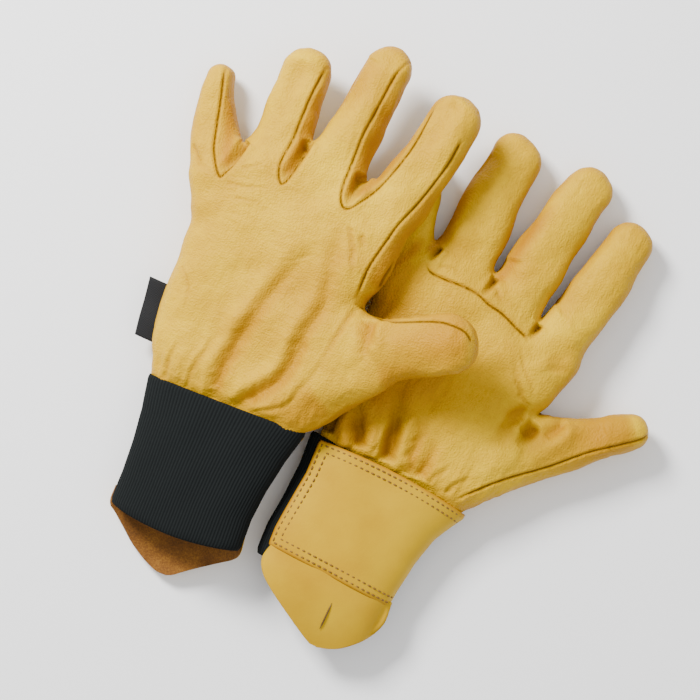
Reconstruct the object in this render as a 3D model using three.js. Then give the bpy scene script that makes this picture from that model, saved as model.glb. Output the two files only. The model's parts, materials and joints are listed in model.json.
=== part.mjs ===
// A pair of leather protector gloves: the right glove lies palm up and the left glove lies back up,
// its thumb and index finger resting over the right glove. Millimetres, +Z up, floor at z = 0.
// Each glove is laid out in its own frame: origin at the middle of the wrist seam, +Y to the
// fingertips, +X to the thumb side, z = 0 on the side seams.
import * as THREE from 'three';

// ---- Driving dimensions ----
const LEATHER = 1.5;          // hide thickness
const SEAM_GAP = 0.4;         // clearance between two pieces at a sewn edge
const PLY_GAP = 0.3;          // clearance between two stacked layers
const ROUNDNESS = 2.4;        // superellipse exponent of every glove section
const ELASTIC = 1.6;          // knitted band thickness
const BAND_LENGTH = 68;       // elastic cuff, along the arm
const BAND_HALF_THICK = 12;
const FINGER_HALF_THICK = 10.5;
const WRIST_HALF_THICK = 13.5;
const HAND_HALF_THICK = 15;
const STITCH_PITCH = 3.4;     // spacing of the two topstitch rows
const FLAT_CROWN = 0.96;      // the hand is flat above this share of its half thickness
const STRIP_SHARE = 0.5;      // share of a finger's side wall taken by its fourchette
const SETTLE_SHARE = 0.4;     // a finger's sections stand square to it beyond this share of it
const FLARE_SHARE = 0.5;      // and have lost the width of the knuckle beyond this one
const TIP_HALF_THICK = 0.9;   // the pinched end of a finger
const TIP_INSET = 0.3;        // share of the inset taken off there
const CAP_WIDTH = 0.1;        // width of that end, as a share of the fingertip's radius

// Stations along a finger, from its root to its tip, and where the fourchette runs out.
const STATIONS = [0, 0.2, 0.4, 0.58, 0.74, 0.87, 0.96, 1];
const STRIP_ROWS = 5;
const STRIP_END = 0.8;

// The two gloves. Points are [x, y] in the glove's frame. `knuckles` runs from the little finger's
// outer corner to the index finger's; each finger spans two neighbouring corners.
const LEFT = {
  name: 'left',
  palmSide: -1,
  place: { at: [-79.7, -30.2], turn: -20, roll: 12.5, pitch: 2 },
  knuckles: [[-58, 103], [-38, 111], [-8, 117], [27, 116], [57, 102]],
  littleSide: [[-44, 0], [-48, 20], [-51, 50], [-52, 78], [-58, 103]],
  thumbSide: [[44, 0], [46.5, 4], [57, 26], [58, 50], [50, 72], [57, 102]],
  thumbRoot: [[50, 72], [46.5, 4]],
  bandEdges: { wrist: [-44, 44], hem: [-41, 33] },
  flap: [[-75, -31, 30], [-81, -24.5, 21], [-87, -17.5, 13], [-92, -10.5, 6.5], [-95.5, -4, 1]],
  drop: 3.5,
  tongueDip: 2,
  hasTag: true,
  fingers: {
    little: { via: [-57, 134], tip: [-63.5, 164], width: 23, end: 15 },
    ring: { via: [-20, 150], tip: [-22.5, 189], width: 28, end: 24 },
    middle: { via: [13, 160], tip: [18.5, 203], width: 28, end: 26 },
    index: { via: [51.5, 148], tip: [61, 189], width: 28.5, end: 27 },
  },
  thumb: { via: [82.4, 59.9], tip: [114.8, 75.5], width: 33, end: 29, rise: 13 },
};

const RIGHT = {
  name: 'right',
  palmSide: 1,
  place: { at: [5.7, -66.9], turn: -28, roll: 0, pitch: 0 },
  knuckles: [[-58, 98], [-36, 105], [-1, 105], [30.5, 96], [60, 88]],
  littleSide: [[-42, 0], [-47, 25], [-50, 55], [-54, 78], [-58, 98]],
  thumbSide: [[41, 0], [41.5, 5], [52, 22], [55, 42], [50, 58.6], [60, 88]],
  thumbRoot: [[50, 58.6], [41.5, 5]],
  bandEdges: { wrist: [-46.5, 41], hem: [-44.5, 30] },
  flap: [[-75, -35.5, 29], [-81, -27, 26], [-87, -16, 22], [-92, -6.5, 17.5], [-95.5, 1, 10]],
  drop: 3.5,
  tongueDip: 9,
  hasTag: false,
  fingers: {
    little: { via: [-54, 131], tip: [-60, 160], width: 22, end: 17 },
    ring: { via: [-20.5, 145], tip: [-22, 187], width: 29, end: 24 },
    middle: { via: [15, 146], tip: [23, 191], width: 28, end: 24 },
    index: { via: [50.5, 138], tip: [53.5, 176.5], width: 26, end: 22 },
  },
  thumb: { via: [76, 59.8], tip: [109, 85], width: 26, end: 19, rise: -3 },
};

const FINGER_ORDER = ['little', 'ring', 'middle', 'index'];

// ---- Materials ----
const LOOKS = {
  leather: { color: 0xd9ae55, roughness: 0.62, metalness: 0 },
  patch: { color: 0xd2a94f, roughness: 0.5, metalness: 0 },
  suede: { color: 0xa86a20, roughness: 0.95, metalness: 0 },
  elastic: { color: 0x26292b, roughness: 0.9, metalness: 0 },
  thread: { color: 0xc4963c, roughness: 0.7, metalness: 0 },
  tag: { color: 0x1d1e20, roughness: 0.8, metalness: 0 },
};

// ---- Closed solids from grids of points ----

/** Adds the two triangles of one four-cornered face. */
function addQuad(faces, a, b, c, d) {
  faces.push(a, b, c, a, c, d);
}

/** Six times the enclosed volume; its sign says whether the faces point out. */
function signedVolume(points, faces) {
  const corner = new THREE.Vector3();
  let total = 0;
  for (let k = 0; k < faces.length; k += 3) {
    corner.crossVectors(points[faces[k]], points[faces[k + 1]]);
    total += corner.dot(points[faces[k + 2]]);
  }
  return total;
}

/** A closed geometry from points and triangles, with its faces turned outward. */
function solid(points, faces) {
  const outward = signedVolume(points, faces) > 0 ? faces : faces.slice().reverse();
  const geometry = new THREE.BufferGeometry().setFromPoints(points);
  geometry.setIndex(outward);
  geometry.computeVertexNormals();
  return geometry;
}

/** A sheet with thickness: an outer grid, an inner grid of the same size, and the rim between. */
function sheetSolid(outer, inner) {
  const rows = outer.length;
  const columns = outer[0].length;
  const points = [...outer.flat(), ...inner.flat()];
  const top = (i, j) => i * columns + j;
  const under = (i, j) => rows * columns + top(i, j);
  const faces = [];
  for (let i = 0; i + 1 < rows; i++) {
    for (let j = 0; j + 1 < columns; j++) {
      addQuad(faces, top(i, j), top(i, j + 1), top(i + 1, j + 1), top(i + 1, j));
      addQuad(faces, under(i, j), under(i + 1, j), under(i + 1, j + 1), under(i, j + 1));
    }
  }
  for (let j = 0; j + 1 < columns; j++) {
    addQuad(faces, top(0, j + 1), top(0, j), under(0, j), under(0, j + 1));
    addQuad(faces, top(rows - 1, j), top(rows - 1, j + 1), under(rows - 1, j + 1), under(rows - 1, j));
  }
  const end = columns - 1;
  for (let i = 0; i + 1 < rows; i++) {
    addQuad(faces, top(i, 0), top(i + 1, 0), under(i + 1, 0), under(i, 0));
    addQuad(faces, top(i + 1, end), top(i, end), under(i, end), under(i + 1, end));
  }
  return solid(points, faces);
}

/** An open-ended sleeve: rings of outer points, rings of inner points, and an annulus at each end. */
function sleeveSolid(outerRings, innerRings) {
  const rows = outerRings.length;
  const around = outerRings[0].length;
  const points = [...outerRings.flat(), ...innerRings.flat()];
  const out = (i, j) => i * around + (j % around);
  const within = (i, j) => rows * around + out(i, j);
  const faces = [];
  for (let j = 0; j < around; j++) {
    for (let i = 0; i + 1 < rows; i++) {
      addQuad(faces, out(i, j), out(i, j + 1), out(i + 1, j + 1), out(i + 1, j));
      addQuad(faces, within(i, j), within(i + 1, j), within(i + 1, j + 1), within(i, j + 1));
    }
    addQuad(faces, out(0, j + 1), out(0, j), within(0, j), within(0, j + 1));
    addQuad(faces, out(rows - 1, j), out(rows - 1, j + 1), within(rows - 1, j + 1), within(rows - 1, j));
  }
  return solid(points, faces);
}

// ---- Sections ----

const signedPower = (value, power) => Math.sign(value) * Math.abs(value) ** power;
const acrossShare = (angle) => signedPower(Math.cos(angle), 2 / ROUNDNESS);
const heightShare = (angle) => signedPower(Math.sin(angle), 2 / ROUNDNESS);

/** The angle on a section of half thickness `halfThick` at which its wall is `height` high. */
function angleAt(height, halfThick) {
  return Math.asin(Math.min(1, height / halfThick) ** (ROUNDNESS / 2));
}

/** `count` + 1 evenly spaced values from `first` to `last`. */
function spread(first, last, count) {
  return Array.from({ length: count + 1 }, (_, k) => first + ((last - first) * k) / count);
}

/** Piecewise-linear reading of a list of [x, y] points: the x at a given y. */
function readAt(points, y) {
  const last = points.length - 1;
  let k = 0;
  while (k < last - 1 && y > points[k + 1][1]) k++;
  const [x0, y0] = points[k];
  const [x1, y1] = points[k + 1];
  const share = THREE.MathUtils.clamp((y - y0) / (y1 - y0), 0, 1);
  return x0 + (x1 - x0) * share;
}

// ---- Fingers and thumb ----

/** The sections of one finger from root to tip; `inset` is 0 on the outside and LEATHER on the inside. */
function digitSections(digit, inset) {
  const [leftRoot, rightRoot] = digit.root.map(([x, y]) => new THREE.Vector2(x, y));
  const rootMiddle = leftRoot.clone().lerp(rightRoot, 0.5);
  const via = new THREE.Vector2(...digit.via);
  const tip = new THREE.Vector2(...digit.tip);
  const forward = tip.clone().sub(rootMiddle).normalize();
  rootMiddle.addScaledVector(forward, SEAM_GAP / 2);
  tip.addScaledVector(forward, -inset);
  const control = via.clone().multiplyScalar(2).addScaledVector(rootMiddle, -0.5).addScaledVector(tip, -0.5);
  const line = new THREE.QuadraticBezierCurve(rootMiddle, control, tip);
  const length = line.getLength();
  const rootAcross = rightRoot.clone().sub(leftRoot);
  const rootHalf = rootAcross.length() / 2 - SEAM_GAP;
  rootAcross.normalize();
  return STATIONS.map((share) => {
    const isTip = share === 1;
    const tangent = line.getTangent(share);
    const square = new THREE.Vector2(tangent.y, -tangent.x);
    const settled = THREE.MathUtils.smoothstep(share, 0, SETTLE_SHARE);
    const flare = Math.max(0, 1 - share / FLARE_SHARE) ** 2;
    const straight = THREE.MathUtils.lerp(digit.width, digit.end, share) / 2;
    const radius = digit.end / 2;
    const fromTip = Math.min(radius, Math.max(length * (1 - share), CAP_WIDTH * radius));
    const rounding = Math.sqrt(1 - ((radius - fromTip) / radius) ** 2);
    const halfWidth = THREE.MathUtils.lerp(straight, rootHalf, flare) * rounding - inset;
    const thick = THREE.MathUtils.lerp(FINGER_HALF_THICK, digit.rootHalfThick, flare) * rounding - inset;
    return {
      middle: line.getPoint(share),
      across: rootAcross.clone().lerp(square, settled).normalize(),
      halfWidth,
      halfThick: isTip ? TIP_HALF_THICK - inset * TIP_INSET : thick,
      wholeThick: isTip ? TIP_HALF_THICK : thick + inset,
      z: digit.lift * share,
      share,
    };
  });
}

/** A point on a section at an angle, on the upper (+1) or lower (-1) half. */
function sectionPoint(section, angle, half) {
  const reach = section.halfWidth * acrossShare(angle);
  const height = section.halfThick * heightShare(angle);
  return new THREE.Vector3(
    section.middle.x + section.across.x * reach,
    section.middle.y + section.across.y * reach,
    section.z + half * height,
  );
}

/** Height of the seam between a finger panel and its fourchette, which tapers out near the tip. */
function stripHeight(section, hasStrip) {
  const taper = Math.max(0, 1 - (section.share / STRIP_END) ** 2);
  return hasStrip ? STRIP_SHARE * section.wholeThick * taper : 0;
}

/** The upper or lower half of a finger, between its side seams. */
function digitPanel(digit, half) {
  const [outer, inner] = [0, LEATHER].map((inset) => digitSections(digit, inset).map((section) => {
    const rightHeight = stripHeight(section, digit.strips.right) + SEAM_GAP / 2;
    const leftHeight = stripHeight(section, digit.strips.left) + SEAM_GAP / 2;
    const first = angleAt(rightHeight, section.halfThick);
    const last = Math.PI - angleAt(leftHeight, section.halfThick);
    return spread(first, last, 6).map((angle) => sectionPoint(section, angle, half));
  }));
  return sheetSolid(outer, inner);
}

/** The narrow strip let into a finger's side wall: `side` +1 is its thumb side. */
function fourchette(digit, side) {
  const [outer, inner] = [0, LEATHER].map((inset) => {
    const sections = digitSections(digit, inset).slice(0, STRIP_ROWS);
    return sections.map((section) => {
      const edge = angleAt(stripHeight(section, true) - SEAM_GAP / 2, section.halfThick);
      const middle = side > 0 ? 0 : Math.PI;
      return spread(-edge, edge, 2).map((angle) => sectionPoint(section, middle + angle, 1));
    });
  });
  return sheetSolid(outer, inner);
}

// ---- Hand ----

/** Stations up the hand as [y, half thickness], with rows at both ends of the thumb's root. */
function handRows(glove) {
  const [[, crotch], [, heel]] = glove.thumbRoot;
  const ball = spread(heel, crotch, 4).slice(1).map((y) => [y, HAND_HALF_THICK]);
  return [[SEAM_GAP / 2, WRIST_HALF_THICK], [heel, WRIST_HALF_THICK + 0.3], ...ball];
}

// Shares of the half width at which the extra columns near the side seams stand.
const LOW_COLUMNS = [-0.97, -0.85];
const HIGH_COLUMNS = [0.9, 0.975];

/** Shares of the hand's width at which its columns stand, with the finger corners among them. */
function handColumns(glove) {
  const corners = glove.knuckles.map(([x]) => x);
  const low = corners[0];
  const high = corners[4];
  const share = (x) => (2 * (x - low)) / (high - low) - 1;
  const inner = corners.slice(1, 4).map(share);
  const halfway = (a, b) => (a + b) / 2;
  return [
    ...LOW_COLUMNS,
    inner[0],
    halfway(inner[0], inner[1]),
    inner[1],
    halfway(inner[1], inner[2]),
    inner[2],
    halfway(inner[2], HIGH_COLUMNS[0]),
    ...HIGH_COLUMNS,
  ];
}

/** The straight line along which the thumb is set in: its x at a given y, less the seam clearance. */
function thumbLineAt(glove, y) {
  const [[x1, y1], [x0, y0]] = glove.thumbRoot;
  if (y < y0 || y > y1) return Infinity;
  return x0 + ((x1 - x0) * (y - y0)) / (y1 - y0) - SEAM_GAP;
}

/** One row of points across the hand's upper or lower half. */
function handRow(glove, y, halfThick, inset, half, knuckleRow) {
  const low = readAt(glove.littleSide, y);
  const high = readAt(glove.thumbSide, y);
  const middle = (low + high) / 2;
  const halfWidth = (high - low) / 2;
  const cut = Math.min(1, (thumbLineAt(glove, y) - middle) / halfWidth);
  const insetHalf = halfWidth - inset;
  const thick = halfThick - inset;
  const flatTop = SEAM_GAP / 2;
  const edge = (1 - (flatTop / thick) ** ROUNDNESS) ** (1 / ROUNDNESS);
  const right = Math.min(edge, cut);
  const shares = [-edge, ...handColumns(glove).map((share) => (share > 0 ? share * right : share)), right];
  return shares.map((share) => {
    const crown = Math.max(0, 1 - Math.abs(share) ** ROUNDNESS) ** (1 / ROUNDNESS);
    const height = thick * Math.min(FLAT_CROWN, crown);
    const x = middle + share * insetHalf;
    const along = knuckleRow ? readAcross(glove.knuckles, x) - SEAM_GAP / 2 : y;
    return new THREE.Vector3(x, along, half * Math.max(flatTop, height));
  });
}

/** Piecewise-linear reading the other way: the y of the knuckle line at a given x. */
function readAcross(points, x) {
  return readAt(points.map(([a, b]) => [b, a]), x);
}

/** The back or the palm of the hand, from the wrist seam to the knuckle line. */
function handPanel(glove, half) {
  const knuckleY = (glove.knuckles[0][1] + glove.knuckles[4][1]) / 2;
  const [outer, inner] = [0, LEATHER].map((inset) => [
    ...handRows(glove).map(([y, thick]) => handRow(glove, y, thick, inset, half, false)),
    handRow(glove, knuckleY, HAND_HALF_THICK - 2, inset, half, true),
  ]);
  return sheetSolid(outer, inner);
}

// ---- Cuff, tongue and patch ----

/** A point on the band's section: angle 0 at the thumb side, a quarter turn at the top. */
function bandPoint(glove, y, angle, offset) {
  const run = Math.min(1, -y / BAND_LENGTH);
  const { wrist, hem } = glove.bandEdges;
  const left = THREE.MathUtils.lerp(wrist[0], hem[0], run);
  const right = THREE.MathUtils.lerp(wrist[1], hem[1], run);
  const reach = ((right - left) / 2 + offset) * acrossShare(angle);
  const height = (BAND_HALF_THICK + offset) * heightShare(angle);
  return new THREE.Vector3((left + right) / 2 + reach, y, height);
}

/** The knitted tube round the wrist. */
function elasticCuff(glove) {
  const heights = [-0.2, -22, -45, -BAND_LENGTH];
  const angles = spread(0, 2 * Math.PI, 28).slice(0, -1);
  const rings = (offset) => heights.map((y) => angles.map((angle) => bandPoint(glove, y, angle, offset)));
  return sleeveSolid(rings(0), rings(-ELASTIC));
}

const TONGUE_ROWS = [-3, -30, -BAND_LENGTH];
const TONGUE_ARC = 0.32;      // how far round the cuff it reaches each side, in half turns
const TONGUE_END = -95.5;

/** A point of the tongue; share -1 is its little-finger edge. Past the hem it follows `flap`. */
function tonguePoint(glove, [y, left, right], share, offset) {
  const angle = glove.palmSide * Math.PI * (0.5 - share * TONGUE_ARC);
  const point = bandPoint(glove, Math.max(y, -BAND_LENGTH), angle, offset);
  if (y < -BAND_LENGTH) {
    const run = (-BAND_LENGTH - y) / (-BAND_LENGTH - TONGUE_END);
    point.x = THREE.MathUtils.lerp(left, right, (share + 1) / 2);
    point.y = y;
    point.z -= glove.tongueDip * run ** 2;
  }
  return point;
}

/** The leather tongue: it lines the palm side of the cuff and ends in a rounded pulse flap. */
function pulseTongue(glove) {
  const rows = [...TONGUE_ROWS.map((y) => [y]), ...glove.flap];
  const shares = spread(-1, 1, 8);
  const grid = (offset) => rows.map((row) => shares.map((share) => tonguePoint(glove, row, share, offset)));
  return sheetSolid(grid(PLY_GAP + LEATHER), grid(PLY_GAP));
}

const PATCH_OFFSET = 2 * PLY_GAP + LEATHER;
const PATCH_ROWS = [1, -16, -32, -48, -62];
const PATCH_ARC = 0.4;

/** A point on the patch's surface: share -1 at the little-finger edge, 1 at the thumb edge. */
function patchPoint(glove, y, share, lift) {
  const angle = glove.palmSide * Math.PI * (0.5 - share * PATCH_ARC);
  return bandPoint(glove, y, angle, PATCH_OFFSET + LEATHER + lift);
}

/** The plain leather patch stitched over the palm side of the cuff. */
function wristPatch(glove) {
  const shares = spread(-1, 1, 10);
  const grid = (lift) => PATCH_ROWS.map((y) => shares.map((share) => patchPoint(glove, y, share, lift)));
  return sheetSolid(grid(0), grid(-LEATHER));
}

const THREAD_MARGIN = 2.6;    // from the patch's edge to the outer row
const THREAD_END = 0.95;      // both rows run out this far across, short of the thumb-side edge
const THREAD_HALF_WIDTH = 0.4;
const THREAD_HEIGHT = 0.5;
const PATCH_HALF_WIDTH = 42;

/** One topstitch row on the patch: down the little-finger side between the top and bottom edges. */
function patchThread(glove, rowNumber) {
  const margin = THREAD_MARGIN + rowNumber * STITCH_PITCH;
  const side = margin / PATCH_HALF_WIDTH - 1;
  const top = PATCH_ROWS[0] - margin;
  const bottom = PATCH_ROWS[4] + margin;
  const route = [
    ...spread(THREAD_END, side, 8).map((share) => [top, share]),
    ...spread(top, bottom, 4).slice(1, -1).map((y) => [y, side]),
    ...spread(side, THREAD_END, 8).map((share) => [bottom, share]),
  ];
  const ribbon = (lift) => route.map(([y, share], k) => {
    const before = patchPoint(glove, ...route[Math.max(0, k - 1)], lift);
    const after = patchPoint(glove, ...route[Math.min(route.length - 1, k + 1)], lift);
    const here = patchPoint(glove, y, share, lift);
    const outward = patchPoint(glove, y, share, lift + 1).sub(here);
    const sideways = after.sub(before).cross(outward).normalize().multiplyScalar(THREAD_HALF_WIDTH);
    return [here.clone().sub(sideways), here.clone().add(sideways)];
  });
  return sheetSolid(ribbon(2 * PLY_GAP + THREAD_HEIGHT), ribbon(2 * PLY_GAP));
}

const DART = { x: 3, y: -79, width: 0.9, length: 14, height: 0.7 };
const DART_SLOPE = 0.035;     // its tilt in radians for each millimetre that the flap dips
const DART_DROP = 0.16;       // share of the flap's dip reached at its middle

/** The sewn dart that cups the pulse flap: a short bar of thread along its middle. */
function dartThread(glove) {
  const bar = new THREE.BoxGeometry(DART.width, DART.length, DART.height);
  const above = BAND_HALF_THICK + LEATHER + 2 * PLY_GAP + 2 * DART.height;
  bar.rotateX(glove.tongueDip * DART_SLOPE * glove.palmSide);
  bar.translate(DART.x, DART.y, glove.palmSide * above - glove.tongueDip * DART_DROP);
  return bar;
}

const TAG = { reach: 7.5, length: 30, thick: 1.4, y: 32, turn: 0.09, seamGap: 2 };

/** The folded woven tag caught in the little-finger side seam. */
function labelTag(glove) {
  const bar = new THREE.BoxGeometry(TAG.reach, TAG.length, TAG.thick);
  bar.rotateZ(TAG.turn);
  bar.translate(readAt(glove.littleSide, TAG.y) - TAG.reach / 2 - TAG.seamGap, TAG.y, 0);
  return bar;
}

// ---- Assembly ----

function part(name, geometry, look) {
  const mesh = new THREE.Mesh(geometry, new THREE.MeshStandardMaterial(LOOKS[look]));
  mesh.name = name;
  return mesh;
}

/** Everything that `digitSections` needs to know about one finger of a glove. */
function fingerShape(glove, finger) {
  const k = FINGER_ORDER.indexOf(finger);
  return {
    ...glove.fingers[finger],
    root: [glove.knuckles[k], glove.knuckles[k + 1]],
    rootHalfThick: HAND_HALF_THICK - 2,
    strips: { left: k > 0, right: k < 3 },
    lift: -glove.drop,
  };
}

function thumbShape(glove) {
  return {
    ...glove.thumb,
    root: glove.thumbRoot,
    rootHalfThick: HAND_HALF_THICK - 2,
    strips: { left: false, right: false },
    lift: glove.thumb.rise,
  };
}

/** One glove as a group of its pieces. The upper half is the palm where palmSide is +1. */
function glove(spec) {
  const group = new THREE.Group();
  const add = (name, geometry, look) => group.add(part(`${spec.name}_${name}`, geometry, look));
  add('palm_panel', handPanel(spec, spec.palmSide), 'leather');
  add('back_panel', handPanel(spec, -spec.palmSide), 'leather');
  for (const finger of FINGER_ORDER) {
    const shape = fingerShape(spec, finger);
    add(`${finger}_front`, digitPanel(shape, spec.palmSide), 'leather');
    add(`${finger}_back`, digitPanel(shape, -spec.palmSide), 'leather');
    if (shape.strips.left) add(`${finger}_outer_fourchette`, fourchette(shape, -1), 'leather');
    if (shape.strips.right) add(`${finger}_inner_fourchette`, fourchette(shape, 1), 'leather');
  }
  add('thumb_front', digitPanel(thumbShape(spec), spec.palmSide), 'leather');
  add('thumb_back', digitPanel(thumbShape(spec), -spec.palmSide), 'leather');
  add('elastic_cuff', elasticCuff(spec), 'elastic');
  add('pulse_tongue', pulseTongue(spec), 'suede');
  add('wrist_patch', wristPatch(spec), 'patch');
  add('patch_thread_outer', patchThread(spec, 0), 'thread');
  add('patch_thread_inner', patchThread(spec, 1), 'thread');
  add('dart_thread', dartThread(spec), 'thread');
  if (spec.hasTag) add('label_tag', labelTag(spec), 'tag');

  const tilt = new THREE.Group();
  tilt.rotation.set(
    THREE.MathUtils.degToRad(spec.place.pitch),
    -THREE.MathUtils.degToRad(spec.place.roll),
    0,
  );
  tilt.add(group);
  const placed = new THREE.Group();
  placed.rotation.z = THREE.MathUtils.degToRad(spec.place.turn);
  placed.add(tilt);
  const lowest = new THREE.Box3().setFromObject(placed, true).min.z;
  placed.position.set(...spec.place.at, -lowest);
  return placed;
}

// The pair stands on the floor with its origin under the middle of its bounding box.
const gloves = new THREE.Group();
gloves.add(glove(RIGHT), glove(LEFT));
const box = new THREE.Box3().setFromObject(gloves, true);
gloves.position.set(-(box.min.x + box.max.x) / 2, -(box.min.y + box.max.y) / 2, 0);

export default gloves;
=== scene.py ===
"""The looks of a pair of leather protector gloves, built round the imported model.

Shapes are worked out in each glove's own frame, in millimetres: origin at the middle of the wrist
seam, +Y to the fingertips, +X to the thumb side, z = 0 on the side seams. `to_row` turns them into
metres in the model's frame.
"""
import json
import math

import bpy
import numpy as np
import openvdb
from mathutils import Matrix, Vector


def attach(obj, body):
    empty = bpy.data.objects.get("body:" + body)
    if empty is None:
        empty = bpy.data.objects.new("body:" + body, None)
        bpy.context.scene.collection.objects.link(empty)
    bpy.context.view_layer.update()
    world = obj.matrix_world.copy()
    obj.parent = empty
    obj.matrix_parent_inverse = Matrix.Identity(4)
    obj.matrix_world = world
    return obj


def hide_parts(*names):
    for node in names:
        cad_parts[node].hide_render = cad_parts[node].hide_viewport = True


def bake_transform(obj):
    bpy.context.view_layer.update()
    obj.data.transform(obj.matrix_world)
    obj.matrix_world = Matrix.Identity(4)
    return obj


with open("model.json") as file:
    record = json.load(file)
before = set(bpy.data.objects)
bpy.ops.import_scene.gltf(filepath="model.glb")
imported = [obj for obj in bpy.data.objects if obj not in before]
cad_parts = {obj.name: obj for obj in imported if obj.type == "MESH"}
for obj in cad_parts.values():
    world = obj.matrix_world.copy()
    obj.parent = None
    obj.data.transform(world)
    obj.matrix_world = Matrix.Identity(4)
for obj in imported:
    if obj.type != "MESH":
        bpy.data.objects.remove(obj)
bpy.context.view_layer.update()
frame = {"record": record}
record = frame["record"]
mount_at = {m["name"]: Vector(m["pos_m"]) for m in record["mounts"]}

MM = 0.001

# ---- Driving dimensions (mm) ----
VOXEL = 0.8  # grid on which the skin is formed
LEATHER = 1.3
SECTION_POWER = 2.3  # superellipse exponent of the hand and the fingers
EDGE_RADIUS = 24.0  # how far in from the outline the hand rounds over
SKIN_BLEND = 5.0  # fillet between hand and fingers
BLEND_BEFORE = 10.0  # how far before the root line a digit's piece starts, and how far either side its end points are set
BLEND_AFTER = 14.0
DIGIT_REACH = 1.6  # a digit's skin reaches this many half widths from its middle line
WALL_INSET = 1.2  # the side walls start this far under the skin
WALL_CELL = 1.6  # grid on which they are kept under it
WALL_GAP = 0.3  # and stand back this far from the line between two digits
WALL_SLOPE = 13.0  # mm for each half width
WALL_END = 36.0  # how far past the root they run
CREASE_BLEND = 0.8  # fillet between neighbouring fingers
BAND_LENGTH = 68.0
BAND_HALF_THICK = 12.0
BAND_HALF_WIDTH = 38.0  # nominal, for spacing points evenly round the band
BOW_LIMIT = 1.4  # its hem's bow goes on growing this far, in band lengths
RING_STEPS = 721
FINGERS = ("little", "ring", "middle", "index")
DIGITS = FINGERS + ("thumb",)

# A glove: its name, its palm side (+1 up), turn, roll and pitch in degrees, the hand's outline, the
# crotch points between its fingers, the two ends of the thumb's root, the cuff's side edges from wrist
# to hem, the bow of the hem, how much of the girth the patch covers towards the little finger and the
# thumb, and its digits. Each digit: root, via and tip points of its middle line, its widths there, its
# half thickness at root and tip, and the rise of its tip.
LEFT = {
    "name": "left",
    "palm": -1,
    "angles": (-20.0, 12.5, 2.0),
    "outline": [(-42, -8), (-43, 0), (-48, 16), (-50.5, 35), (-50.5, 60), (-50.5, 80), (-53.5, 96),
                (-58, 108), (-52, 118), (-36.5, 130), (-5.5, 140), (27.5, 133), (52, 114), (56, 96),
                (53.5, 82), (51, 70), (60, 50), (58, 26), (47, 4), (43, 0), (42, -8)],
    "knuckles": [(-58, 103), (-38, 111), (-8, 117), (27, 116), (57, 102)],
    "thumb_root": [(50, 72), (46.5, 4)],
    "band_edge": [(-43.5, 44), (-40.5, 38.5), (-39.5, 35), (-39, 32.5), (-40, 32.5)],
    "hem_bow": 4.0,
    "patch_reach": (0.19, 0.205),
    "digits": {
        "little": ((-41, 96), (-57, 134), (-64, 165), (24, 25, 14), (12, 8.5), -4),
        "ring": ((-22, 98), (-20, 150), (-22, 189.5), (33, 29, 26), (13, 10), -4),
        "middle": ((9, 100), (15, 160), (23.5, 203), (33, 28, 24.5), (13, 10), -4),
        "index": ((38, 96), (54.5, 148), (64.5, 188.5), (35, 29.5, 27), (13, 10), -4),
        "thumb": ((38, 37), (86, 62), (115, 76), (60, 32, 30), (13.5, 10.5), 13),
    },
}
RIGHT = {
    "name": "right",
    "palm": 1,
    "angles": (-28.0, 0.0, 0.0),
    "outline": [(-42, -8), (-42.5, 0), (-46, 25), (-50, 55), (-52, 78), (-55, 96), (-52, 108), (-34.5, 115),
                (-1, 115), (30.5, 103), (54, 98), (57.5, 88), (53.5, 72), (48, 58), (53, 42), (51, 22),
                (41, 4), (40, 0), (39, -8)],
    "knuckles": [(-58, 98), (-36, 105), (-1, 105), (30.5, 96), (60, 88)],
    "thumb_root": [(50, 58.6), (41.5, 5)],
    "band_edge": [(-46.5, 40), (-44, 33), (-44, 29.5), (-44.5, 28), (-43, 28)],
    "hem_bow": -1.0,
    "patch_reach": (0.19, 0.255),
    "digits": {
        "little": ((-42, 86), (-53.5, 131), (-60, 160), (24, 23, 15), (12, 9), -4),
        "ring": ((-19, 86), (-20, 145), (-19.5, 188.5), (34, 31, 27), (13, 9.5), -4),
        "middle": ((13, 82), (16.5, 146), (24.5, 191.5), (33, 29, 26), (13, 9.5), -4),
        "index": ((39, 78), (50, 138), (53, 177), (29, 27.5, 23.5), (12.5, 9.5), -4),
        "thumb": ((32, 25), (77.5, 60.5), (107.5, 85), (44, 28, 17), (13, 9), -3),
    },
}

# ---- Small geometry helpers ----


def glove_matrix(glove):
    """The matrix from a glove's own frame, in metres, to the model's frame."""
    turn, roll, pitch = (math.radians(a) for a in glove["angles"])
    tilt = Matrix.Rotation(pitch, 4, "X") @ Matrix.Rotation(-roll, 4, "Y")
    place = Matrix.Translation(mount_at[glove["name"] + "_wrist_centre"])
    return place @ Matrix.Rotation(turn, 4, "Z") @ tilt


def to_row(glove, points, lift=0.0):
    """Glove-frame millimetres to metres in the model's frame.

    They lie flat where they meet the floor, and those of an inner surface `lift` mm above it.
    """
    matrix = np.array(glove_matrix(glove))
    row = np.asarray(points, float) * MM @ matrix[:3, :3].T + matrix[:3, 3]
    row[..., 2] = np.maximum(row[..., 2], np.asarray(lift) * MM)
    return row


def run_along(path):
    """The length walked at each point of a path."""
    return np.concatenate([[0], np.cumsum(np.linalg.norm(np.diff(path, axis=0), axis=1))])


def points_at(path, run, at):
    """Points on a path where the length walked is `at`."""
    return np.stack([np.interp(at, run, column) for column in path.T], axis=1)


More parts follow.
